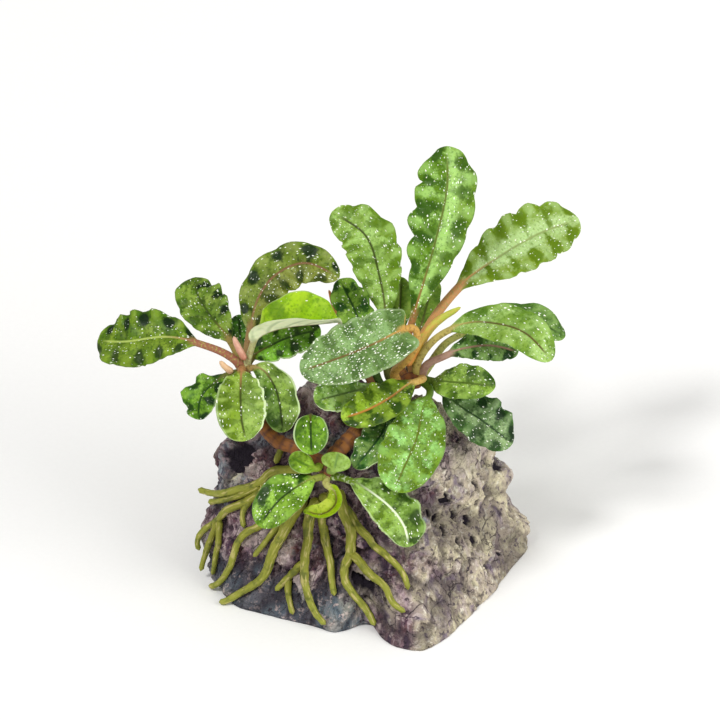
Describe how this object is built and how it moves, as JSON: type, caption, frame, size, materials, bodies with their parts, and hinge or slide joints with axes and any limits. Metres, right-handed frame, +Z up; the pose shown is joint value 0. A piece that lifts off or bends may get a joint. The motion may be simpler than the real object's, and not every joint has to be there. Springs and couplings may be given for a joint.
{
  "type": "bucephalandra on stone",
  "caption": "Creeping aquarium plant with wavy, white-dotted leaves in rosettes, rooted onto a loose lump of porous lava rock.",
  "frame": {"origin": "on the surface the stone rests on, near the middle of the stone's flat underside", "axes": "+Z up out of the stone, -Y towards the viewer of the face that the roots cover, +X to that viewer's right"},
  "size_m": [0.1261, 0.0932, 0.1047],
  "materials": {
    "lava_rock": "matte",
    "rhizome_brown": "satin",
    "root_olive": "matte",
    "sheath_orange": "satin",
    "leaf_green": "satin",
    "leaf_blue_green": "satin",
    "leaf_lime": "satin",
    "leaf_olive": "satin"
  },
  "bodies": {
    "root": {"back_leaf_1": "leaf_blue_green", "back_leaf_2": "leaf_blue_green", "back_leaf_3": "leaf_blue_green", "front_leaf_1": "leaf_blue_green", "front_leaf_2": "leaf_blue_green", "front_leaf_3": "leaf_lime", "front_leaf_4": "leaf_blue_green", "left_bract": "sheath_orange", "left_leaf_1": "leaf_olive", "left_leaf_2": "leaf_green", "left_leaf_3": "leaf_olive", "left_leaf_4": "leaf_lime", "left_leaf_5": "leaf_blue_green", "left_leaf_6": "leaf_blue_green", "left_leaf_7": "leaf_green", "left_leaf_8": "leaf_green", "left_leaf_9": "leaf_blue_green", "left_sheath": "sheath_orange", "left_stem": "rhizome_brown", "low_leaf_1": "leaf_green", "low_leaf_2": "leaf_lime", "low_leaf_3": "leaf_green", "low_leaf_4": "leaf_green", "low_leaf_5": "leaf_lime", "low_leaf_6": "leaf_green", "rhizome": "rhizome_brown", "right_bud": "sheath_orange", "right_leaf_1": "leaf_green", "right_leaf_2": "leaf_green", "right_leaf_3": "leaf_green", "right_leaf_4": "leaf_green", "right_leaf_5": "leaf_blue_green", "right_leaf_6": "leaf_green", "right_leaf_7": "leaf_lime", "right_leaf_8": "leaf_blue_green", "right_leaf_9": "leaf_green", "right_sheath": "sheath_orange", "root_1": "root_olive", "root_10": "root_olive", "root_11": "root_olive", "root_1_fork": "root_olive", "root_2": "root_olive", "root_2_fork": "root_olive", "root_2_twig": "root_olive", "root_3": "root_olive", "root_4": "root_olive", "root_5": "root_olive", "root_6": "root_olive", "root_7": "root_olive", "root_7_fork": "root_olive", "root_7_twig": "root_olive", "root_8": "root_olive", "root_9": "root_olive", "root_9_fork": "root_olive", "stone": "lava_rock"}
  },
  "joints": []
}
